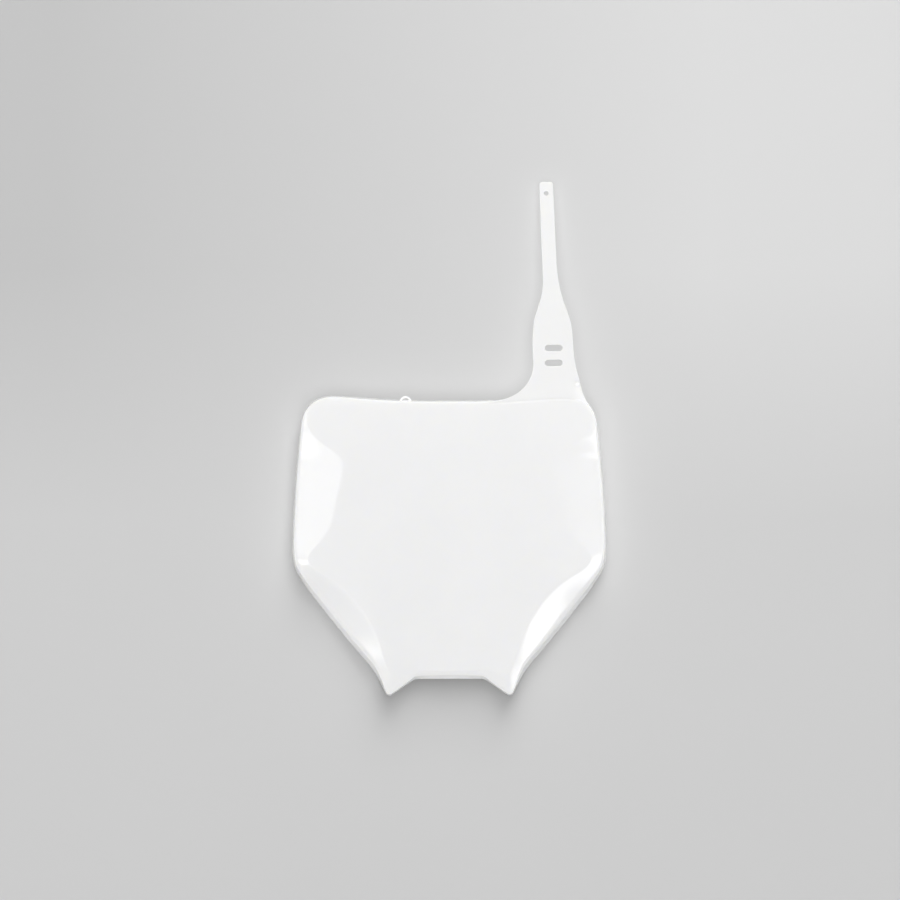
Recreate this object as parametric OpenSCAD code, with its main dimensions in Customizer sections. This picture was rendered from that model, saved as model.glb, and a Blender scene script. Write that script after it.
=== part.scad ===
// Racing number board for the front of an off-road motorbike.
// One moulded shell: a nearly flat field, margins that break off it along a
// winding crease and slope back, a splayed rim all round, a forked lower end,
// and a long strap grown out of the top edge.
// Face up, +Y runs toward the strap end, the rear edge of the rim rests at Z = 0.

/* [Board] */
// Width of the board across its widest corners
board_w = 240; // [210:1:280]
// Height of the board from the cut-out edge to the top edge
board_h = 212; // [190:1:240]
// Depth from the rear edge of the rim to the middle of the face
depth = 28; // [24:1:36]
// Wall thickness of the moulding
wall = 2.2; // [1.8:0.1:2.8]
// Slope of the side margins, in degrees from the face
side_slope = 11; // [8:0.5:14]
// Slope of the lower margins, in degrees from the face
taper_slope = 25; // [20:0.5:28]
// Depth of the rim along the top edge
top_rim = 12; // [8:0.5:16]
// Depth of the rim along the bottom cut-out
cut_rim = 11; // [8:0.5:14]

/* [Strap] */
// Length of the strap above the top edge of the board
strap_len = 167; // [140:1:190]
// Width of the thin tail of the strap
tail_w = 10.7; // [9:0.1:12]
// Thickness of the strap
strap_t = 2; // [1.6:0.1:2.4]
// Diameter of the hole in the strap end
hole_d = 3.5; // [2.5:0.1:5]
// Length of the two cross slots the tail threads through
slot_len = 13.4; // [12.6:0.1:15]
// Height of each cross slot
slot_h = 4.8; // [3.6:0.1:5.4]
// Spacing of the two cross slots
slot_pitch = 11.4; // [9:0.2:15]

/* [Lug] */
// Width of the half-round guide loop on the top rim
lug_w = 8.6; // [7:0.2:11]
// Stand-off of the guide loop above the top rim
lug_out = 3; // [2.4:0.1:4]

/* [Hidden] */

// The outline is worked out on a 240 by 212 board and scaled from there
fx = board_w / 240;
fy = board_h / 212;
// Curvature of the face, across and along, and where along it is highest
round_x = 3000;
round_y = 2000;
y_top = 106 * fy;

// A cubic curve through two ends with two handles
function bez(p, t) =
  p[0] * pow(1 - t, 3) + 3 * p[1] * t * pow(1 - t, 2)
  + 3 * p[2] * t * t * (1 - t) + p[3] * pow(t, 3);
// A straight run written as a curve
function run(a, b) = [a, (2 * a + b) / 3, (a + 2 * b) / 3, b];
// A smooth step between 0 and 1
function ease(t) = t * t * (3 - 2 * t);
function unit(v) = v / norm(v);

// Right half of the rear outline, from the top middle to the bottom middle:
// top edge, corner ear, side in three parts, widest corner in two parts,
// lower taper, outer edge of the foot, foot tip, inner edge of the foot,
// cut-out corner, cut-out
edge = [
  [[0, 212.2], [50, 211.7], [76, 215.8], [89, 215.8]],
  [[89, 215.8], [103.9, 215.8], [112.3, 207], [113.8, 192.5]],
  [[113.8, 192.5], [114.7, 184.2], [115.6, 175.3], [116.4, 166.1]],
  [[116.4, 166.1], [117.6, 153.1], [118.6, 139.5], [119.3, 126.3]],
  [[119.3, 126.3], [119.8, 117.5], [120, 108.3], [120, 99.5]],
  [[120, 99.5], [120, 92.5], [119.4, 86.7], [116.9, 81.8]],
  [[116.9, 81.8], [113, 74.6], [107, 65.6], [101.4, 58.8]],
  [[101.4, 58.8], [88.6, 42.2], [75.6, 26.2], [62.5, 11.2]],
  [[62.5, 11.2], [57.2, 5.2], [52.4, -4], [49.3, -10.7]],
  [[49.3, -10.7], [48.2, -13.1], [46.2, -14], [44, -12.5]],
  run([44, -12.5], [28, -1.2]),
  [[28, -1.2], [26.8, -0.4], [25.6, 0], [24, 0]],
  run([24, 0], [0, 0]),
];

// The crease where the flat face breaks into the sloping margins, matched to
// the outline: it swings far in along the sides, comes back out to the widest
// corners, and swings in again along the tapers
crease = [
  [[0, 208.4], [50, 207.9], [74, 211.6], [85.5, 211.4]],
  [[85.5, 211.4], [101, 211.6], [110.5, 207], [107.6, 193.5]],
  [[107.6, 193.5], [100.5, 177.5], [86, 177], [78.8, 165.5]],
  [[78.8, 165.5], [76.8, 155], [85.8, 136], [86.5, 123]],
  [[86.5, 123], [87, 114.5], [97, 105], [104.3, 97.5]],
  [[104.3, 97.5], [107.2, 94.6], [107.8, 91], [105.6, 88]],
  [[105.6, 88], [101, 82], [91, 78.6], [84, 73]],
  [[84, 73], [73.2, 64.4], [55.2, 46.3], [50.4, 19.5]],
  [[50.4, 19.5], [48.8, 13.5], [46.6, 9.5], [45.3, 6.6]],
  [[45.3, 6.6], [44.5, 5.4], [43.6, 4.8], [42.4, 5]],
  [[42.4, 5], [37.5, 6], [33, 7.1], [28.4, 7.8]],
  [[28.4, 7.8], [27, 8], [25.6, 8], [24, 7.9]],
  [[24, 7.9], [16, 7.3], [8, 7], [0, 7]],
];

// Number of steps along each of those parts
steps = [8, 7, 6, 6, 5, 4, 4, 8, 4, 3, 4, 2, 4];
parts = len(steps);

// Values at the joints between those parts: slope of the margin in degrees,
// run of the splayed rim, level of its rear edge, softness of the shoulder
slope = [
  11, 11, side_slope - 1, side_slope, side_slope, side_slope,
  (side_slope + taper_slope) / 2 - 1, taper_slope, taper_slope - 11,
  12, 11, 13, 15.5, 22];
splay = [1.2, 1.3, 1.6, 1.8, 2, 2, 3, 4.4, 4.4, 2.6, 1.6, 2, 3.6, 4];
top_back = depth - 3.4 - top_rim;
cut_back = depth - 4 - cut_rim;
back = [
  top_back, top_back, 0, 0, 0, 0, 0, 0,
  0, 2, 5, cut_back * 0.9, cut_back, cut_back];
soft = [1.6, 1.8, 2.4, 2.5, 2.6, 2.6, 3, 4, 3.4, 1.6, 1.4, 1.6, 2, 2];

// One row per point of the right half: outline x, y, crease x, y, and those four
function blend(v, i, t) = v[i] + (v[i + 1] - v[i]) * ease(t);
function row(i, t) = concat(
  bez(edge[i], t), bez(crease[i], t),
  [blend(slope, i, t), blend(splay, i, t), blend(back, i, t), blend(soft, i, t)]);
half = [for (i = [0:parts - 1]) for (k = [0:steps[i] - 1]) row(i, k / steps[i])];
// The left half mirrors the right one, and the ring closes at the top middle
function flip(r) = [-r[0], r[1], -r[2], r[3], r[4], r[5], r[6], r[7]];
n_half = len(half);
ring_rows = concat(half, [row(parts - 1, 1)], [for (k = [n_half - 1:-1:1]) flip(half[k])]);
n = len(ring_rows);

// The middle of the whole part along Y is brought to the origin
y_low = min([for (r = ring_rows) r[1]]) * fy;
y_mid = (board_h + strap_len + y_low) / 2;

// Height of the face at a point of the board
function face_z(x, y) =
  depth - x * x / (2 * round_x) - pow(y - y_top, 2) / (2 * round_y);

// How the margin turns down from the crease: level at first, then an even slope
crisp = 0.14;
function turn(t) = (norm([t, crisp]) - crisp) / (norm([1, crisp]) - crisp);
function turn_slope(t) = t / norm([t, crisp]) / (norm([1, crisp]) - crisp);
function quad(a, b, c, t) = a * (1 - t) * (1 - t) + 2 * b * t * (1 - t) + c * t * t;
margin_steps = [0.1, 0.22, 0.4, 0.68];
shoulder_steps = [0, 0.25, 0.5, 0.75, 1];

// Section through the margin, shoulder and rim at one row, as distance in from
// the outline and level: the outer side first, then the inner side one wall in
function section(span, zc, g, s, b, r, inner) =
  let (f = tan(g) * (span - s))
  let (corner = [s, zc - f])
  let (along = unit([span - s, f]))
  let (down = unit([-s, b - corner[1]]))
  let (start = corner + along * min(r, 0.42 * (span - s)))
  let (finish = corner + down * r)
  let (reach = span - start[0])
  let (drop = zc - start[1])
  let (n_in = [along[1], -along[0]])
  let (n_down = [-down[1], down[0]])
  let (mid = corner + wall * (n_in + n_down) / (1 + n_in * n_down))
  let (w = inner ? wall : 0)
  concat(
    [for (t = margin_steps)
      let (dir = unit([reach, drop * turn_slope(t)]))
      [span - reach * t + w * dir[1], zc - drop * turn(t) - w * dir[0]]],
    [for (t = shoulder_steps)
      quad(start + w * n_in, inner ? mid : corner, finish + w * n_down, t)],
    inner
      ? [[wall / n_down[0], b]]
      : [(finish + [0, b]) / 2, [0, b]]);

// Places a section point of one row in space
function place(r, q) =
  let (a = [r[0] * fx, r[1] * fy])
  let (c = [r[2] * fx, r[3] * fy])
  let (p = a + (c - a) * q[0] / norm(c - a))
  [p[0], p[1] - y_mid, q[1]];

// Points of the face inside the crease, drawn toward the middle of the board
heart = [0, 104 * fy];
function face_point(r, m, down) =
  let (p = [r[2] * fx, r[3] * fy] * (1 - m) + heart * m)
  [p[0], p[1] - y_mid, face_z(p[0], p[1]) - down];
face_steps = [0, 0.06, 0.2, 0.45, 0.72];

function span_of(r) = norm([(r[2] - r[0]) * fx, (r[3] - r[1]) * fy]);
function section_of(r, inner) =
  section(
    span_of(r), face_z(r[2] * fx, r[3] * fy), r[4], r[5], r[6], r[7], inner);

// Rings from the middle of the face out over the rim and back in underneath
outer_sections = [for (r = ring_rows) section_of(r, false)];
inner_sections = [for (r = ring_rows) section_of(r, true)];
n_out = len(outer_sections[0]);
n_in = len(inner_sections[0]);
rings = concat(
  [for (m = [4:-1:0]) [for (r = ring_rows) face_point(r, face_steps[m], 0)]],
  [for (k = [0:n_out - 1]) [for (i = [0:n - 1]) place(ring_rows[i], outer_sections[i][k])]],
  [for (k = [n_in - 1:-1:0]) [for (i = [0:n - 1]) place(ring_rows[i], inner_sections[i][k])]],
  [for (m = [0:4]) [for (r = ring_rows) face_point(r, face_steps[m], wall)]]);
last = len(rings) - 1;
points = concat(
  [for (ring = rings) each ring],
  [[heart[0], heart[1] - y_mid, face_z(heart[0], heart[1])],
   [heart[0], heart[1] - y_mid, face_z(heart[0], heart[1]) - wall]]);
function at(k, i) = k * n + i % n;
faces = concat(
  [for (i = [0:n - 1]) [n * (last + 1), at(0, i), at(0, i + 1)]],
  [for (k = [0:last - 1]) for (i = [0:n - 1]) [at(k, i), at(k + 1, i), at(k + 1, i + 1)]],
  [for (k = [0:last - 1]) for (i = [0:n - 1]) [at(k, i), at(k + 1, i + 1), at(k, i + 1)]],
  [for (i = [0:n - 1]) [n * (last + 1) + 1, at(last, i + 1), at(last, i)]]);

module shell() {
  polyhedron(points, faces, convexity = 6);
}

// Strap outline above the top edge: the left side from the root fillet up,
// the round-cornered tip, then the right side down to the corner of the board
tip = 212 + strap_len / fy;
stretch = strap_len / 167;
function up(y) = 212 + (y - 212) * stretch / fy;
tail = tail_w / 2;
strap_curves = [
  [[36, 211], [36, 212.4], [36, 212.4], [37, 212.5]],
  [[37, 212.5], [52.4, 212.6], [64.1, up(225)], [64, up(241)]],
  [[64, up(241)], [63.3, up(252)], [63.3, up(262)], [64.6, up(273)]],
  [[64.6, up(273)], [66.7, up(282)], [71.5, up(290)], [76.9 - tail, up(303)]],
  run([76.9 - tail, up(303)], [74.4 - tail, tip - 2.4]),
  [[74.4 - tail, tip - 2.4], [74.4 - tail, tip - 1], [75.4 - tail, tip], [76.8 - tail, tip]],
  run([76.8 - tail, tip], [71.8 + tail, tip]),
  [[71.8 + tail, tip], [73.2 + tail, tip], [74.2 + tail, tip - 1], [74.2 + tail, tip - 2.4]],
  run([74.2 + tail, tip - 2.4], [76.5 + tail, up(318)]),
  [[76.5 + tail, up(318)], [77.4 + tail, up(304)], [79.2 + tail, up(295)], [87, up(287.5)]],
  [[87, up(287.5)], [89.6, up(280)], [93.2, up(273)], [93.9, up(262)]],
  [[93.9, up(262)], [94.6, up(250)], [94.8, up(241)], [97.9, up(231)]],
  [[97.9, up(231)], [100.1, up(224)], [100.9, 216], [106, 209]],
];
strap_steps = [1, 9, 4, 5, 1, 4, 1, 4, 1, 4, 4, 4, 4];
strap_outline = concat(
  [for (i = [0:12]) for (k = [0:strap_steps[i] - 1]) bez(strap_curves[i], k / strap_steps[i])],
  [[106, 209], [98, 209.5], [86, 211]]);

// The strap follows the same long arc as the face, seen from the side
root_x = 76 * fx;
root_tilt = atan(root_x / round_x);
root_z = face_z(root_x, y_top) - 0.3;

module strap_slab() {
  translate([root_x, y_top - y_mid, root_z])
  rotate([0, root_tilt, 0])
  translate([0, 0, -round_y])
  rotate([0, 90, 0])
  difference() {
    cylinder(r = round_y, h = 120 * fx, center = true, $fn = 1440);
    cylinder(r = round_y - strap_t, h = 130 * fx, center = true, $fn = 1440);
  }
}

module slot(y) {
  half_run = (slot_len - slot_h) / 2;
  translate([79.5 * fx, y - y_mid, -5]) {
    translate([-half_run, 0, 0]) cylinder(d = slot_h, h = depth + 20, $fn = 48);
    translate([half_run, 0, 0]) cylinder(d = slot_h, h = depth + 20, $fn = 48);
    translate([-half_run, -slot_h / 2, 0]) cube([2 * half_run, slot_h, depth + 20]);
  }
}

slot_y = up(246.1) * fy;

module strap() {
  difference() {
    intersection() {
      translate([0, -y_mid, -5])
      linear_extrude(height = depth + 20)
      scale([fx, fy])
      polygon(strap_outline);
      strap_slab();
    }
    slot(slot_y + slot_pitch / 2);
    slot(slot_y - slot_pitch / 2);
    translate([74.3 * fx, tip * fy - 8.9 - y_mid, -5])
    cylinder(d = hole_d, h = depth + 20, $fn = 48);
  }
}

// The guide loop is a slice of a round ring that stands on the top rim
lug_x = -33.1 * fx;
lug_y = bez(edge[0], 0.22)[1] * fy;
lug_r = (pow(lug_w / 2, 2) + lug_out * lug_out) / (2 * lug_out);
lug_t = 1.4;
module lug() {
  translate([lug_x, lug_y - y_mid, top_back + 0.15 * top_rim])
  linear_extrude(height = 0.5 * top_rim)
  difference() {
    translate([0, lug_out - lug_r]) circle(r = lug_r, $fn = 72);
    translate([0, lug_out - lug_r]) circle(r = lug_r - lug_t, $fn = 72);
    translate([-lug_w, -3 * lug_w]) square([2 * lug_w, 3 * lug_w - 0.7 * wall]);
  }
}

module board() {
  color("white") {
    union() {
      shell();
      strap();
      lug();
    }
  }
}

board();
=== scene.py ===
"""Racing number board: one white gloss moulding, lying face up, seen from straight above."""

import math

import bmesh
import bpy
import numpy as np
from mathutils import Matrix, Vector
from mathutils.geometry import delaunay_2d_cdt


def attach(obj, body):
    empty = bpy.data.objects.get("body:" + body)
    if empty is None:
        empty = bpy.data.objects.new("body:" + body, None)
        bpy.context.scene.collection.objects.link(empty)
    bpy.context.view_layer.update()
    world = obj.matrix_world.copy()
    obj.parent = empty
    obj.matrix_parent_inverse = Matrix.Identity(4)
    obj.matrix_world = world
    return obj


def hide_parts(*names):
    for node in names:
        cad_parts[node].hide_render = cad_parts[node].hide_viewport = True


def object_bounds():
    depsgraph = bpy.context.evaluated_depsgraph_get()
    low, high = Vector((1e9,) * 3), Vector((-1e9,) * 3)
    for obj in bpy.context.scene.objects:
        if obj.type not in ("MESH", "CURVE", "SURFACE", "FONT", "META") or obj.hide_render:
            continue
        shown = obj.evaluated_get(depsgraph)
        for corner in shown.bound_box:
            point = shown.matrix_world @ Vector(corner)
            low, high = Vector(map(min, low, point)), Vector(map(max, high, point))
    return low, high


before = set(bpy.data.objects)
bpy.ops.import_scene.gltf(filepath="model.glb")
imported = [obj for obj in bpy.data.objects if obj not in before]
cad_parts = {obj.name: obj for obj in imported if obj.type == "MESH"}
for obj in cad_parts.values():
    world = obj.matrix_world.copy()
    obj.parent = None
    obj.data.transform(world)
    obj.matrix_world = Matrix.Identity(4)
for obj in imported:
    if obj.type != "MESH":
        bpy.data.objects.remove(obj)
cad_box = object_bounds()

MM = 0.001

# Sizes in mm, as the CAD part has them
DEPTH = 28.0
BOARD_H = 212.0
STRAP_LEN = 167.0
WALL = 2.2
SIDE_SLOPE = 11.0
TAPER_SLOPE = 25.0
TOP_RIM = 12.0
CUT_RIM = 11.0
ROUND_X = 3000.0
ROUND_Y = 2000.0
Y_TOP = 106.0
STRAP_T = 2.0
# Half the width of the strap's tail
TAIL = 10.7 / 2
HOLE_D = 3.5
SLOT_LEN, SLOT_H, SLOT_PITCH = 13.4, 4.8, 11.4
LUG_W, LUG_OUT, LUG_T = 8.6, 3.0, 1.4
TIP = BOARD_H + STRAP_LEN
Y_MID = TIP - cad_box[1][1] / MM


def bez(p, t):
    """A cubic curve through two ends with two handles."""
    p = np.array(p, float)
    t = np.asarray(t, float)[..., None]
    u = 1 - t
    return p[0] * u**3 + 3 * p[1] * t * u**2 + 3 * p[2] * t * t * u + p[3] * t**3


def run(a, b):
    """A straight run written as a curve."""
    a, b = np.array(a, float), np.array(b, float)
    return [a, (2 * a + b) / 3, (a + 2 * b) / 3, b]


# Right half of the rear outline and of the crease, from the top middle to the bottom middle,
# y counted from the cut-out edge
EDGE = [
    [[0, 212.2], [50, 211.7], [76, 215.8], [89, 215.8]],
    [[89, 215.8], [103.9, 215.8], [112.3, 207], [113.8, 192.5]],
    [[113.8, 192.5], [114.7, 184.2], [115.6, 175.3], [116.4, 166.1]],
    [[116.4, 166.1], [117.6, 153.1], [118.6, 139.5], [119.3, 126.3]],
    [[119.3, 126.3], [119.8, 117.5], [120, 108.3], [120, 99.5]],
    [[120, 99.5], [120, 92.5], [119.4, 86.7], [116.9, 81.8]],
    [[116.9, 81.8], [113, 74.6], [107, 65.6], [101.4, 58.8]],
    [[101.4, 58.8], [88.6, 42.2], [75.6, 26.2], [62.5, 11.2]],
    [[62.5, 11.2], [57.2, 5.2], [52.4, -4], [49.3, -10.7]],
    [[49.3, -10.7], [48.2, -13.1], [46.2, -14], [44, -12.5]],
    run([44, -12.5], [28, -1.2]),
    [[28, -1.2], [26.8, -0.4], [25.6, 0], [24, 0]],
    run([24, 0], [0, 0]),
]
CREASE = [
    [[0, 208.4], [50, 207.9], [74, 211.6], [85.5, 211.4]],
    [[85.5, 211.4], [101, 211.6], [110.5, 207], [107.6, 193.5]],
    [[107.6, 193.5], [100.5, 177.5], [86, 177], [78.8, 165.5]],
    [[78.8, 165.5], [76.8, 155], [85.8, 136], [86.5, 123]],
    [[86.5, 123], [87, 114.5], [97, 105], [104.3, 97.5]],
    [[104.3, 97.5], [107.2, 94.6], [107.8, 91], [105.6, 88]],
    [[105.6, 88], [101, 82], [91, 78.6], [84, 73]],
    [[84, 73], [73.2, 64.4], [55.2, 46.3], [50.4, 19.5]],
    [[50.4, 19.5], [48.8, 13.5], [46.6, 9.5], [45.3, 6.6]],
    [[45.3, 6.6], [44.5, 5.4], [43.6, 4.8], [42.4, 5]],
    [[42.4, 5], [37.5, 6], [33, 7.1], [28.4, 7.8]],
    [[28.4, 7.8], [27, 8], [25.6, 8], [24, 7.9]],
    [[24, 7.9], [16, 7.3], [8, 7], [0, 7]],
]
# How far the face's edge lies below its middle at the top edge and at the cut-out
TOP_FALL, CUT_FALL = 3.4, 4
TOP_BACK = DEPTH - TOP_FALL - TOP_RIM
CUT_BACK = DEPTH - CUT_FALL - CUT_RIM
# At the joints between those parts: slope of the margin in degrees, run of the
# splayed rim, level of its rear edge, softness of the shoulder
VALUES = np.array([
    [11, 11, SIDE_SLOPE - 1, SIDE_SLOPE, SIDE_SLOPE, SIDE_SLOPE, (SIDE_SLOPE + TAPER_SLOPE) / 2 - 1,
     TAPER_SLOPE, TAPER_SLOPE - 11, 12, 11, 13, 15.5, 22],
    [1.2, 1.3, 1.6, 1.8, 2, 2, 3, 4.4, 4.4, 2.6, 1.6, 2, 3.6, 4],
    [TOP_BACK, TOP_BACK, 0, 0, 0, 0, 0, 0, 0, 2, 5, CUT_BACK * 0.9, CUT_BACK, CUT_BACK],
    [1.6, 1.8, 2.4, 2.5, 2.6, 2.6, 3, 4, 3.4, 1.6, 1.4, 1.6, 2, 2],
])


def face_z(x, y):
    """Level of the face, y counted from the cut-out edge."""
    return DEPTH - x * x / (2 * ROUND_X) - (y - Y_TOP) ** 2 / (2 * ROUND_Y)


def even(points, step, closed=True):
    """Rows at even steps along the first two columns."""
    line = np.vstack([points, points[:1]]) if closed else points
    s = np.concatenate([[0], np.cumsum(np.hypot(*np.diff(line[:, :2], axis=0).T))])
    count = max(2, int(round(s[-1] / step)))
    at = np.linspace(0, s[-1], count, endpoint=not closed)
    return np.column_stack([np.interp(at, s, line[:, k]) for k in range(line.shape[1])])


def rise(v):
    """A smooth step between 0 and 1."""
    v = np.clip(v, 0, 1)
    return v * v * (3 - 2 * v)


def eased(rows, passes):
    """Rows of a closed ring, each drawn toward its neighbours as many times as said."""
    for _ in range(passes):
        rows = (np.roll(rows, 1, 0) + 2 * rows + np.roll(rows, -1, 0)) / 4
    return rows


def bend_step(rows, finest, widest, share):
    """A step for each row: short in tight corners and long on straight runs."""
    p = eased(rows[:, :2], 2)
    a, b = p - np.roll(p, 1, 0), np.roll(p, -1, 0) - p
    la, lb = np.hypot(*a.T), np.hypot(*b.T)
    angle = np.abs(np.arctan2(a[:, 0] * b[:, 1] - a[:, 1] * b[:, 0], (a * b).sum(1)))
    radius = (la + lb) / 2 / np.maximum(angle, 1e-5)
    return np.clip(radius * share, finest, widest)


# Steps along the ring of rows, and how often crease, margin values and steps are eased
CURVE_POINTS = 80
ROW_STEP = 0.4
FINEST_ROW, WIDEST_ROW, ROW_BEND_SHARE = 0.3, 1.5, 0.1
CREASE_EASING, MARGIN_EASING, ROW_EASING = 60, 500, 12


def board_rows():
    """The closed ring of rows: outline x, y, crease x, y and the four margin values."""
    half = []
    for i in range(len(EDGE)):
        t = np.linspace(0, 1, CURVE_POINTS, endpoint=False)
        vals = VALUES[:, i] + (VALUES[:, i + 1] - VALUES[:, i]) * rise(t)[:, None]
        half.append(np.hstack([bez(EDGE[i], t), bez(CREASE[i], t), vals]))
    half.append(np.hstack([EDGE[-1][3], CREASE[-1][3], VALUES[:, -1]])[None, :])
    half = np.vstack(half)
    other = half[1:-1][::-1] * [-1, 1, -1, 1, 1, 1, 1, 1]
    loop = even(np.vstack([half, other]), ROW_STEP)
    loop[:, 2:4] = eased(loop[:, 2:4], CREASE_EASING)
    loop[:, 4:] = eased(loop[:, 4:], MARGIN_EASING)
    step = eased(bend_step(loop, FINEST_ROW, WIDEST_ROW, ROW_BEND_SHARE)[:, None], ROW_EASING)[:, 0]
    passed = np.concatenate([[0], np.cumsum(1 / step)])
    wide = np.vstack([loop, loop[:1]])
    count = int(round(passed[-1] * ROW_STEP))
    at = np.linspace(0, passed[-1], count, endpoint=False)
    return np.column_stack([np.interp(at, passed, wide[:, k]) for k in range(wide.shape[1])])


# Section through the margin, shoulder and rim

# How soon the margin reaches its even slope behind the crease
CRISP = 0.14
# Share of the margin that the shoulder may take, and of the inner margin that the inner one may
SHOULDER_SHARE, INNER_SHARE = 0.42, 0.6
# Least softness of the inner corner
INNER_SOFT = 0.3
# Size of the rolled rear edge of the rim, and where the middle of its roll lies as shares of it
LIP, ROLL_OUT, ROLL_UP = 0.4, 0.12, 0.29
# Places of the rings as shares of margin, shoulder and rim, on the outer and on the hollow side
MARGIN_T = (0, 0.03, 0.06, 0.095, 0.135, 0.18, 0.24, 0.32, 0.42, 0.54, 0.68, 0.84)
MARGIN_BACK = (0, 0.09, 0.2, 0.36, 0.6, 0.84)
SHOULDER_T = np.linspace(0, 1, 11)
SHOULDER_BACK = np.linspace(0, 1, 7)
RIM_T = (0.3, 0.65)
RIM_BACK = (0.5,)


def turn(t):
    """How the margin turns down from the crease: level at first, then an even slope."""
    return (np.hypot(t, CRISP) - CRISP) / (math.hypot(1, CRISP) - CRISP)


def unit(v):
    return v / np.linalg.norm(v, axis=-1, keepdims=True)


def quad(a, b, c, t):
    return a * (1 - t) ** 2 + 2 * b * t * (1 - t) + c * t * t


def going_in(rows, dist):
    """Points that lie this far in from the outline, on the way to the crease."""
    a, c = rows[:, 0:2], rows[:, 2:4]
    return a + unit(c - a) * dist[:, None]


def placed(rows, dist, level):
    p = going_in(rows, dist)
    return np.column_stack([p[:, 0], p[:, 1] - Y_MID, level])


def sections(rows, under):
    """Rings over the margin, shoulder and rim: the outer side, or the side one wall in."""
    span = np.hypot(*(rows[:, 2:4] - rows[:, 0:2]).T)
    zc = face_z(rows[:, 2], rows[:, 3])
    slope, splay, back, soft = rows[:, 4:].T
    fall = np.tan(np.radians(slope)) * (span - splay)
    corner = np.column_stack([splay, zc - fall])
    along = unit(np.column_stack([span - splay, fall]))
    down = unit(np.column_stack([-splay, back - corner[:, 1]]))
    start = corner + along * np.minimum(soft, SHOULDER_SHARE * (span - splay))[:, None]
    finish = corner + down * soft[:, None]
    if under:
        n_in = np.column_stack([along[:, 1], -along[:, 0]])
        n_down = np.column_stack([-down[:, 1], down[:, 0]])
        bend = (n_in * n_down).sum(1)
        corner = corner + WALL * (n_in + n_down) / (1 + bend)[:, None]
        inner_soft = soft - WALL * np.sqrt((1 - bend) / (1 + bend))
        inner_soft = np.minimum(np.maximum(inner_soft, INNER_SOFT), INNER_SHARE * (span - corner[:, 0]))
        start = corner + along * inner_soft[:, None]
        finish = corner + down * inner_soft[:, None]
    lower = WALL if under else 0.0

    def level_at(t):
        """The face's own level, less the growing drop of the margin."""
        d = span + (start[:, 0] - span) * t
        p = going_in(rows, d)
        q = going_in(rows, start[:, 0])
        drop = face_z(q[:, 0], q[:, 1]) - lower - start[:, 1]
        return d, face_z(p[:, 0], p[:, 1]) - lower - drop * turn(t)

    rings = [level_at(t) for t in (MARGIN_BACK if under else MARGIN_T)]
    for t in SHOULDER_BACK if under else SHOULDER_T:
        p = quad(start, corner, finish, t)
        rings.append((p[:, 0], p[:, 1]))
    foot = np.column_stack([WALL / n_down[:, 0] if under else 0 * back, back])
    edge = rings[-1]
    way = foot - np.column_stack(edge)
    for t in RIM_BACK if under else RIM_T:
        rings.append((edge[0] + way[:, 0] * t, edge[1] + way[:, 1] * t))
    out = -1 if under else 1
    up = foot - unit(way) * LIP
    rings.append((up[:, 0], up[:, 1]))
    rings.append((foot[:, 0] + out * ROLL_OUT * LIP, foot[:, 1] + ROLL_UP * LIP))
    rings.append((foot[:, 0] + out * LIP, foot[:, 1]))
    return [placed(rows, d, z) for d, z in rings]


# Flat regions: points on a grid inside the loops, joined into triangles

def inside(points, loops):
    """Which points lie inside the loops, by how often each loop passes them on one side."""
    odd = np.zeros(len(points), bool)
    px, py = points[:, 0:1], points[:, 1:2]
    for loop in loops:
        a, b = loop, np.roll(loop, -1, 0)
        cross = (a[:, 1] > py) != (b[:, 1] > py)
        with np.errstate(divide="ignore", invalid="ignore"):
            x = a[:, 0] + (py - a[:, 1]) / (b[:, 1] - a[:, 1]) * (b[:, 0] - a[:, 0])
        odd ^= (np.count_nonzero(cross & (px < x), axis=1) % 2).astype(bool)
    return odd


def fill(loops, pitch):
    """Grid points inside the loops, and triangles that join them and the loops' own points."""
    loops = [np.asarray(loop)[:, :2] for loop in loops]
    lo, hi = loops[0].min(0), loops[0].max(0)
    gx, gy = np.meshgrid(*(np.arange(lo[k] + pitch / 2, hi[k], pitch) for k in (0, 1)))
    gx[1::2] += pitch / 2
    grid = np.column_stack([gx.ravel(), gy.ravel()])
    grid = grid[inside(grid, loops)]
    rim = np.vstack(loops)
    near = [np.min(np.hypot(*(rim - g).T)) > 0.5 * pitch for g in grid]
    grid = grid[near]
    edges, base = [], 0
    for loop in loops:
        n = len(loop)
        edges += [(base + i, base + (i + 1) % n) for i in range(n)]
        base += n
    flat = [Vector(p) for p in np.vstack([rim, grid])]
    verts, _, faces, origin, _, _ = delaunay_2d_cdt(flat, edges, [], 0, 1e-7)
    if len(verts) != len(flat):
        raise RuntimeError("a flat region has loops that touch")
    back = [o[0] for o in origin]
    tris = np.array([[back[i] for i in f] for f in faces])
    pts = np.vstack([rim, grid])
    return grid, tris[inside(pts[tris].mean(1), loops)]


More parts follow.
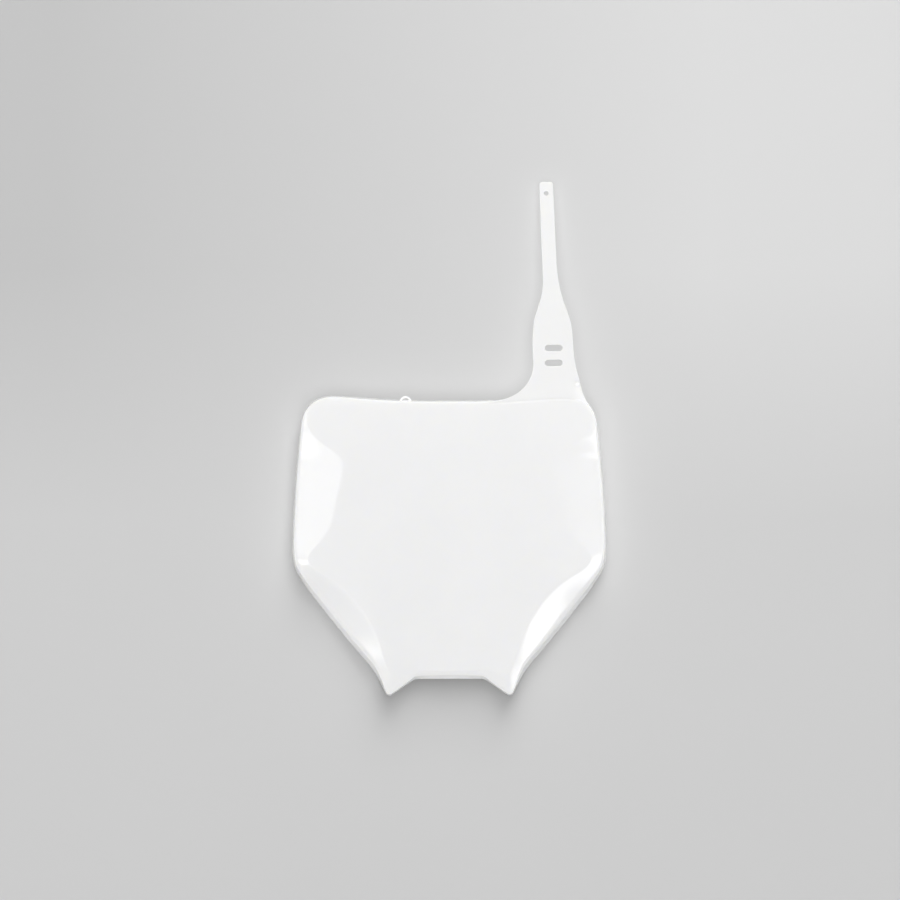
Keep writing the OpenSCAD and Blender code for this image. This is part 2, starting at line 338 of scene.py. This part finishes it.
class Sheet:
    """Collects points in mm with a wear value each, and makes one object in metres."""

    def __init__(self):
        self.points, self.wear, self.faces, self.slots = [], [], [], []

    def ring(self, pts, wear=0.0):
        base = len(self.points)
        self.points += [tuple(p) for p in pts]
        self.wear += [wear] * len(pts)
        return np.arange(base, base + len(pts))

    def bridge(self, a, b, slot=0):
        a2, b2 = np.roll(a, -1), np.roll(b, -1)
        self.faces += [tuple(f) for f in np.column_stack([a, b, b2, a2])]
        self.slots += [slot] * len(a)

    def cap(self, loops, pitch, level, slot=0):
        own = np.concatenate(loops)
        pts = np.array(self.points)
        grid, tris = fill([pts[loop] for loop in loops], pitch)
        z = level(grid[:, 0], grid[:, 1])
        ids = np.concatenate([own, self.ring(np.column_stack([grid, z]))])
        self.faces += [tuple(f) for f in ids[tris]]
        self.slots += [slot] * len(tris)

    def make(self, name, materials):
        mesh = bpy.data.meshes.new(name)
        mesh.from_pydata(np.array(self.points) * MM, [], [tuple(map(int, f)) for f in self.faces])
        for m in materials:
            mesh.materials.append(m)
        mesh.polygons.foreach_set("material_index", self.slots)
        mesh.polygons.foreach_set("use_smooth", [True] * len(self.faces))
        wear = mesh.attributes.new("wear", "FLOAT", "POINT")
        wear.data.foreach_set("value", self.wear)
        mesh.update()
        solid = bmesh.new()
        solid.from_mesh(mesh)
        bmesh.ops.recalc_face_normals(solid, faces=solid.faces)
        if solid.calc_volume(signed=True) < 0:
            bmesh.ops.reverse_faces(solid, faces=solid.faces)
        solid.to_mesh(mesh)
        solid.free()
        obj = bpy.data.objects.new(name, mesh)
        bpy.context.scene.collection.objects.link(obj)
        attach(obj, "root")
        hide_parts("board")
        return obj


# Materials

def nodes_of(name):
    mat = bpy.data.materials.new(name)
    mat.use_nodes = True
    tree = mat.node_tree
    tree.nodes.clear()

    def add(kind, **inputs):
        node = tree.nodes.new("ShaderNode" + kind)
        for key, value in inputs.items():
            key = key.replace("_", " ")
            if key in node.inputs:
                target = node.inputs[key]
                if isinstance(value, bpy.types.NodeSocket):
                    tree.links.new(value, target)
                else:
                    target.default_value = value
            else:
                setattr(node, key.replace(" ", "_"), value)
        return node

    return mat, tree, add


# Where an edge is rubbed, its tint is darker by this factor and its gloss duller by this much
WORN_TINT, WORN_ROUGH = 0.9, 0.35


def plastic(name, light, dark, rough, spread, grain, depth):
    """Moulded plastic: cloudy tint, uneven gloss, fine skin and scuffs where edges rub."""
    mat, tree, add = nodes_of(name)
    place = add("TexCoord").outputs["Object"]
    cloud = add("TexNoise", Vector=place, Scale=14.0, Detail=4.0, Roughness=0.55)
    speck = add("TexNoise", Vector=place, Scale=420.0, Detail=2.0, Roughness=0.5)
    skin = add("TexNoise", Vector=place, Scale=grain, Detail=3.0, Roughness=0.6)
    wave = add("TexNoise", Vector=place, Scale=22.0, Detail=1.0, Roughness=0.4)
    wear = add("Attribute", attribute_name="wear")

    tint = add("ValToRGB", Fac=cloud.outputs["Fac"])
    tint.color_ramp.elements[0].position = 0.3
    tint.color_ramp.elements[0].color = (*dark, 1)
    tint.color_ramp.elements[1].position = 0.7
    tint.color_ramp.elements[1].color = (*light, 1)
    rubbed = add("Math", operation="MULTIPLY")
    tree.links.new(wear.outputs["Fac"], rubbed.inputs[0])
    tree.links.new(speck.outputs["Fac"], rubbed.inputs[1])
    dirt = add("Mix", data_type="RGBA")
    tree.links.new(rubbed.outputs[0], dirt.inputs[0])
    tree.links.new(tint.outputs["Color"], dirt.inputs[6])
    dirt.inputs[7].default_value = (*(c * WORN_TINT for c in dark), 1)

    gloss = add("MapRange", Value=speck.outputs["Fac"])
    gloss.inputs["From Min"].default_value = 0.3
    gloss.inputs["From Max"].default_value = 0.7
    gloss.inputs["To Min"].default_value = rough - spread
    gloss.inputs["To Max"].default_value = rough + spread
    dull = add("Math", operation="MULTIPLY_ADD")
    tree.links.new(rubbed.outputs[0], dull.inputs[0])
    dull.inputs[1].default_value = WORN_ROUGH
    tree.links.new(gloss.outputs[0], dull.inputs[2])

    low = add("Bump", Height=wave.outputs["Fac"], Strength=1.0, Distance=0.00012)
    fine = add("Bump", Height=skin.outputs["Fac"], Strength=1.0, Distance=depth)
    tree.links.new(low.outputs["Normal"], fine.inputs["Normal"])

    shader = add("BsdfPrincipled", Roughness=dull.outputs[0], IOR=1.49)
    tree.links.new(dirt.outputs[2], shader.inputs["Base Color"])
    tree.links.new(fine.outputs["Normal"], shader.inputs["Normal"])
    shader.inputs["Subsurface Weight"].default_value = 0.6
    shader.inputs["Subsurface Radius"].default_value = (1.0, 0.98, 0.85)
    shader.inputs["Subsurface Scale"].default_value = 0.003
    out = add("OutputMaterial")
    tree.links.new(shader.outputs["BSDF"], out.inputs["Surface"])
    return mat


GLOSS = dict(rough=0.13, spread=0.02, grain=1600.0, depth=0.000006)
gloss_white = plastic("gloss_white", (0.885, 0.885, 0.882), (0.866, 0.867, 0.865), **GLOSS)
# Painted shade: the strap's plastic is a little darker than the face's, to even out the extra key light
# its slope catches
strap_white_painted_shade = plastic("strap_white_painted_shade", (0.865, 0.865, 0.862), (0.846, 0.847, 0.845), **GLOSS)
back_white = plastic(
    "back_white", (0.86, 0.86, 0.85), (0.82, 0.822, 0.815),
    rough=0.38, spread=0.05, grain=700.0, depth=0.00002)


# The shell: face, rolled margin, splayed rim and the hollow side one wall in

FACE_PITCH = 7.0
# Wear of the rings, from the crease out to the rear edge of the rim, and on the hollow side
WEAR_MARGIN, WEAR_SHOULDER, WEAR_BACK = 0.0, 0.35, 0.2
WEAR_RIM = [0.1, 0.1, 0.6, 0.9, 0.9]


def shell_sheet():
    rows = board_rows()
    shell = Sheet()
    wear = [WEAR_MARGIN] * len(MARGIN_T) + [WEAR_SHOULDER] * len(SHOULDER_T) + WEAR_RIM
    outer = [shell.ring(p, w) for p, w in zip(sections(rows, False), wear)]
    under = [shell.ring(p, WEAR_BACK) for p in sections(rows, True)]
    for a, b in zip(outer, outer[1:]):
        shell.bridge(a, b)
    shell.bridge(outer[-1], under[-1])
    for a, b in zip(under[::-1], under[::-1][1:]):
        shell.bridge(a, b, 1)
    shell.cap([outer[0]], FACE_PITCH, lambda x, y: face_z(x, y + Y_MID))
    shell.cap([under[0]], FACE_PITCH, lambda x, y: face_z(x, y + Y_MID) - WALL, 1)
    return shell


# Plates with rounded edges: the strap and the guide loop

EDGE_R, LOOP_EDGE_R = 0.45, 0.22
EDGE_STEPS = 5
WEAR_EDGE = 0.4
STRAP_PITCH, LOOP_PITCH = 3.0, 1.2
# Finest and widest step along a loop, and its share of the bend's radius
STRAP_STEPS, SLOT_STEPS, ARCH_STEPS = (0.35, 1.6, 0.14), (0.3, 0.9, 0.16), (0.1, 0.4, 0.14)
SPACING_EASING = 6


def inset(loop, d):
    """The loop moved by d to its left, the side of the material."""
    a = unit(np.roll(loop, -1, 0) - loop)
    b = unit(loop - np.roll(loop, 1, 0))
    na, nb = (np.column_stack([-v[:, 1], v[:, 0]]) for v in (a, b))
    return loop + d * (na + nb) / (1 + (na * nb).sum(1))[:, None]


def plate(sheet, loops, top, bottom, pitch, r):
    """Outer loop runs to the left and holes to the right, so the material is on the left of each."""
    arc = np.linspace(0, math.pi / 2, EDGE_STEPS)
    profile = [(2.0 * r, 0)] + [(r * (1 - math.sin(k)), r * (1 - math.cos(k))) for k in arc]
    tops, bottoms = [], []
    for loop in loops:
        stack = []
        for side, level in ((1, top), (-1, bottom)):
            part = []
            for d, drop in profile:
                p = inset(loop, d)
                z = level(p[:, 0], p[:, 1]) - side * drop
                part.append(sheet.ring(np.column_stack([p, z]), 0.0 if drop == 0 else WEAR_EDGE))
            stack.append(part)
        down = stack[0] + stack[1][::-1]
        for a, b in zip(down, down[1:]):
            sheet.bridge(a, b)
        tops.append(down[0])
        bottoms.append(down[-1])
    sheet.cap(tops, pitch, top)
    sheet.cap(bottoms, pitch, bottom)


def adaptive(points, finest, widest, share):
    """The closed loop with short steps in its bends and long ones on its straight runs."""
    loop = even(points, finest)
    step = eased(bend_step(loop, finest, widest, share)[:, None], SPACING_EASING)[:, 0]
    s = np.concatenate([[0], np.cumsum(finest / step)])
    wide = np.vstack([loop, loop[:1]])
    at = np.linspace(0, s[-1], int(round(s[-1])), endpoint=False)
    return np.column_stack([np.interp(at, s, wide[:, k]) for k in (0, 1)])


# Strap outline: from its hidden foot at the left over the left side up to the round-cornered
# tip, then down the right side to the corner of the board and back behind the face
STRAP_CURVES = [
    [[34, 211.5], [52.4, 213.1], [64.1, 225], [64, 241]],
    [[64, 241], [63.3, 252], [63.3, 262], [64.6, 273]],
    [[64.6, 273], [66.7, 282], [71.5, 290], [76.9 - TAIL, 303]],
    run([76.9 - TAIL, 303], [74.4 - TAIL, TIP - 2.4]),
    [[74.4 - TAIL, TIP - 2.4], [74.4 - TAIL, TIP - 1], [75.4 - TAIL, TIP], [76.8 - TAIL, TIP]],
    run([76.8 - TAIL, TIP], [71.8 + TAIL, TIP]),
    [[71.8 + TAIL, TIP], [73.2 + TAIL, TIP], [74.2 + TAIL, TIP - 1], [74.2 + TAIL, TIP - 2.4]],
    run([74.2 + TAIL, TIP - 2.4], [76.5 + TAIL, 318]),
    [[76.5 + TAIL, 318], [77.4 + TAIL, 304], [79.2 + TAIL, 295], [87, 287.5]],
    [[87, 287.5], [89.6, 280], [93.2, 273], [93.9, 262]],
    [[93.9, 262], [94.6, 250], [94.8, 241], [97.9, 231]],
    [[97.9, 231], [100.1, 224], [100.9, 216], [106, 209]],
    [[106, 209], [108, 206.5], [106, 203], [101, 203]],
    run([101, 203], [42, 203]),
    [[42, 203], [33, 203], [25, 210.7], [34, 211.5]],
]
STRAP_POINTS = 40
# The strap's middle, the slots and the end hole across the board, and the slots along it
ROOT_X, SLOT_X, HOLE_X = 76.0, 79.5, 74.3
SLOT_Y = 246.1
# From the tip of the strap to the middle of the end hole
HOLE_IN = 8.9
ROOT_TAN = ROOT_X / ROUND_X
ROOT_COS = 1 / math.hypot(1, ROOT_TAN)
# The strap's top lies this far below the face's own arc
SUNK = 0.03
ROOT_Z = face_z(ROOT_X, Y_TOP) - SUNK
# The fold where the strap leaves the board: its drop, where it starts and how long it is
FOLD_DROP, FOLD_Y, FOLD_RUN = 0.3, 208.5, 4
# The strap's right side near the root, and how its corner there bends down
SIDE_Y, SIDE_X = (209, 216, 224, 231), (106, 101.9, 99.4, 97.9)
CORNER_DROP, CORNER_WIDE, CORNER_Y, CORNER_RUN, CORNER_MOST = 2.4, 10, 229, 8, 1.2
# How far the foot behind the face lies below it, so that it never shows through
FOOT_DROP, FOOT_Y, FOOT_RUN = 0.1, 209, 2


def strap_level(depth):
    """Level of the strap this deep in it: the face's long arc, folded down at the root."""

    def level(x, y):
        y = y + Y_MID
        arc = np.sqrt((ROUND_Y - depth) ** 2 - (y - Y_TOP) ** 2) - ROUND_Y
        plane = ROOT_Z + arc / ROOT_COS - (x - ROOT_X) * ROOT_TAN
        inner_x = np.clip(x, 0, ROOT_X)
        under_face = (ROOT_X - inner_x) ** 2 / (2 * ROUND_X)
        fold = FOLD_DROP * rise((y - FOLD_Y) / FOLD_RUN)
        side = np.interp(y, SIDE_Y, SIDE_X)
        past = np.clip((x - side + CORNER_WIDE) / CORNER_WIDE, 0, CORNER_MOST)
        corner = CORNER_DROP * past**2 * rise((CORNER_Y - y) / CORNER_RUN)
        foot = FOOT_DROP * rise((FOOT_Y - y) / FOOT_RUN)
        return plane - under_face - fold - corner - foot
    return level


def round_slot(x, y, length, height, n=20):
    angle = np.linspace(-math.pi / 2, math.pi / 2, n)
    half_run = (length - height) / 2
    right = np.column_stack([half_run + height / 2 * np.cos(angle), height / 2 * np.sin(angle)])
    loop = np.vstack([right, -right])
    return adaptive(loop, *SLOT_STEPS)[::-1] + [x, y - Y_MID]


def circle(x, y, d, n=40):
    a = -np.arange(n) * 2 * math.pi / n
    return np.column_stack([x + d / 2 * np.cos(a), y - Y_MID + d / 2 * np.sin(a)])


def strap_sheet():
    t = np.linspace(0, 1, STRAP_POINTS, endpoint=False)
    outline = np.vstack([bez(curve, t) for curve in STRAP_CURVES])[::-1]
    outline = adaptive(outline, *STRAP_STEPS) - [0, Y_MID]
    holes = [round_slot(SLOT_X, SLOT_Y + k * SLOT_PITCH / 2, SLOT_LEN, SLOT_H) for k in (-1, 1)]
    holes.append(circle(HOLE_X, TIP - HOLE_IN, HOLE_D))
    strap = Sheet()
    plate(strap, [outline] + holes, strap_level(0), strap_level(STRAP_T), STRAP_PITCH, EDGE_R)
    return strap


# Guide loop: where it stands along the top edge, and how far it reaches into the rim
LOOP_X, LOOP_ALONG, LOOP_IN = -33.1, 0.22, 0.7 * WALL
# Its lower side and its height, as shares of the top rim
LOOP_LOW, LOOP_HIGH = 0.15, 0.5
# Points along its sweep and round each of its ends
SWEEP_POINTS, END_POINTS = 60, 12


def guide_loop_sheet():
    """A slice of a round ring with round ends, which stands on the top rim."""
    radius = ((LUG_W / 2) ** 2 + LUG_OUT**2) / (2 * LUG_OUT)
    mid_r, half_t = radius - LUG_T / 2, LUG_T / 2
    reach = math.acos((-LOOP_IN - (LUG_OUT - radius)) / mid_r)
    sweep = np.linspace(-reach, reach, SWEEP_POINTS)
    spokes = np.column_stack([np.sin(sweep), np.cos(sweep)])
    end_turn = np.linspace(0, math.pi, END_POINTS)[1:-1, None]
    ends = []
    for spoke, way in ((spokes[-1], 1), (spokes[0], -1)):
        ahead = np.array([spoke[1], -spoke[0]]) * way
        ends.append(mid_r * spoke + half_t * (np.cos(end_turn) * spoke + np.sin(end_turn) * ahead))
    arch = np.vstack([spokes * radius, ends[0], spokes[::-1] * (radius - LUG_T), ends[1][::-1]])
    edge_y = bez(EDGE[0], LOOP_ALONG)[1]
    arch = adaptive(arch[::-1], *ARCH_STEPS) + [LOOP_X, edge_y + LUG_OUT - radius - Y_MID]
    low = TOP_BACK + LOOP_LOW * TOP_RIM
    high = low + LOOP_HIGH * TOP_RIM
    loop = Sheet()
    plate(loop, [arch], lambda x, y: 0 * x + high, lambda x, y: 0 * x + low, LOOP_PITCH, LOOP_EDGE_R)
    return loop


board_shell = shell_sheet().make("board_shell", [gloss_white, back_white])
strap_sheet().make("board_strap", [strap_white_painted_shade])
guide_loop_sheet().make("board_guide_loop", [gloss_white])


# Floor, light and camera

FLOOR_SIDE = 6.0


def paper_with_painted_light():
    """The backdrop paper with painted light: darker towards its top left and lighter towards its top
    right, as light falls on it, over a faint random grain.
    """
    mat, tree, add = nodes_of("pale_floor_painted_light")

    def mapped(value, from_min, from_max, to_min, to_max):
        node = add("MapRange", Value=value)
        node.inputs["From Min"].default_value = from_min
        node.inputs["From Max"].default_value = from_max
        node.inputs["To Min"].default_value = to_min
        node.inputs["To Max"].default_value = to_max
        return node.outputs["Result"]

    def multiply_add(a, b, c):
        node = add("Math", operation="MULTIPLY_ADD")
        for socket, value in zip(node.inputs, (a, b, c)):
            tree.links.new(value, socket)
        return node.outputs["Value"]

    place = add("TexCoord").outputs["Object"]
    grain = add("TexNoise", Vector=place, Scale=3.0, Detail=3.0)
    axes = add("SeparateXYZ", Vector=place)
    # Painted light: the paper is darkened towards the top left and lightened towards the top right,
    # fading out towards the bottom
    across = mapped(axes.outputs["X"], -0.30, 0.20, -0.075, 0.07)
    along = mapped(axes.outputs["Y"], -0.06, 0.13, 0.0, 1.0)
    shade = multiply_add(across, along, mapped(grain.outputs["Fac"], 0.0, 1.0, 0.595, 0.615))
    paper = add("BsdfPrincipled", Base_Color=shade, Roughness=0.9)
    paper.inputs["Specular IOR Level"].default_value = 0.15
    tree.links.new(paper.outputs["BSDF"], add("OutputMaterial").inputs["Surface"])
    return mat


def flat_floor(material):
    side = FLOOR_SIDE
    corners = [(-side, -side, 0), (side, -side, 0), (side, side, 0), (-side, side, 0)]
    mesh = bpy.data.meshes.new("floor")
    mesh.from_pydata(corners, [], [(0, 1, 2, 3)])
    mesh.materials.append(material)
    obj = bpy.data.objects.new("floor", mesh)
    bpy.context.scene.collection.objects.link(obj)
    return obj


def soft_room(strength):
    world = bpy.data.worlds.new("soft_room")
    world.use_nodes = True
    background = world.node_tree.nodes["Background"]
    background.inputs["Color"].default_value = (1, 1, 1, 1)
    background.inputs["Strength"].default_value = strength
    bpy.context.scene.world = world


def softbox(name, azimuth, zenith, distance, size, radiance, shadow=True, diffuse=True, glossy=True):
    """A rectangular light aimed at the origin: its width lies level, its height along the climb."""
    data = bpy.data.lights.new(name, "AREA")
    data.shape = "RECTANGLE"
    data.size, data.size_y = size
    data.energy = radiance * math.pi * size[0] * size[1]
    data.use_shadow = shadow
    az, zen = math.radians(azimuth), math.radians(zenith)
    toward = (math.cos(az) * math.sin(zen), math.sin(az) * math.sin(zen), math.cos(zen))
    at = Vector(toward) * distance
    light = bpy.data.objects.new(name, data)
    light.location = at
    light.rotation_euler = (-at).to_track_quat("-Z", "Y").to_euler()
    light.visible_diffuse = diffuse
    light.visible_glossy = glossy
    bpy.context.scene.collection.objects.link(light)
    return light


def keys(caster):
    """Two soft keys from the strap's end. Only the caster throws their shadow."""
    casters = bpy.data.collections.new("key_casters")
    casters.objects.link(caster)
    top = softbox("key_top", 80, 54, 4.0, (2.0, 3.0), 1.6, glossy=False)
    low = softbox("key_low", 82, 49, 4.0, (2.2, 3.4), 4.0, glossy=False)
    for key in (top, low):
        key.light_linking.blocker_collection = casters


def fills():
    """Even light from above, and low lights that reach the sloping margins."""
    softbox("fill_above", 90, 0, 2.0, (2.0, 2.0), 1.6, shadow=False, glossy=False)
    for azimuth, radiance in ((215, 6.0), (270, 1.0), (325, 4.6)):
        softbox("fill_%d" % azimuth, azimuth, 84, 2.0, (1.8, 0.6), radiance, shadow=False, glossy=False)


def panels():
    """What the gloss mirrors: each panel lights up one margin and adds no other light."""
    for side, azimuth, zenith, size, radiance in (
            ("left", 186, 25, (1.0, 0.5), 2.1), ("low_left", 205, 38.5, (0.24, 0.24), 8.0),
            ("right", -42, 48.5, (1.0, 0.56), 5.0), ("low_right", -18, 39, (0.36, 0.32), 5.5)):
        softbox("panel_" + side, azimuth, zenith, 1.5, size, radiance, shadow=False, diffuse=False)


def overhead_camera():
    """Straight above the part, with the photo's own slight shift and turn."""
    data = bpy.data.cameras.new("camera")
    data.lens = 150
    data.sensor_width = 36
    camera = bpy.data.objects.new("camera", data)
    camera.location = (0.0006, -0.00849, 2.870)
    camera.rotation_euler = (0, 0, math.radians(-0.1))
    bpy.context.scene.collection.objects.link(camera)
    return camera


floor = flat_floor(paper_with_painted_light())
soft_room(0.14)
keys(board_shell)
fills()
panels()
bpy.context.scene.camera = overhead_camera()
bpy.context.scene.view_settings.view_transform = "Standard"
bpy.context.scene.view_settings.look = "None"
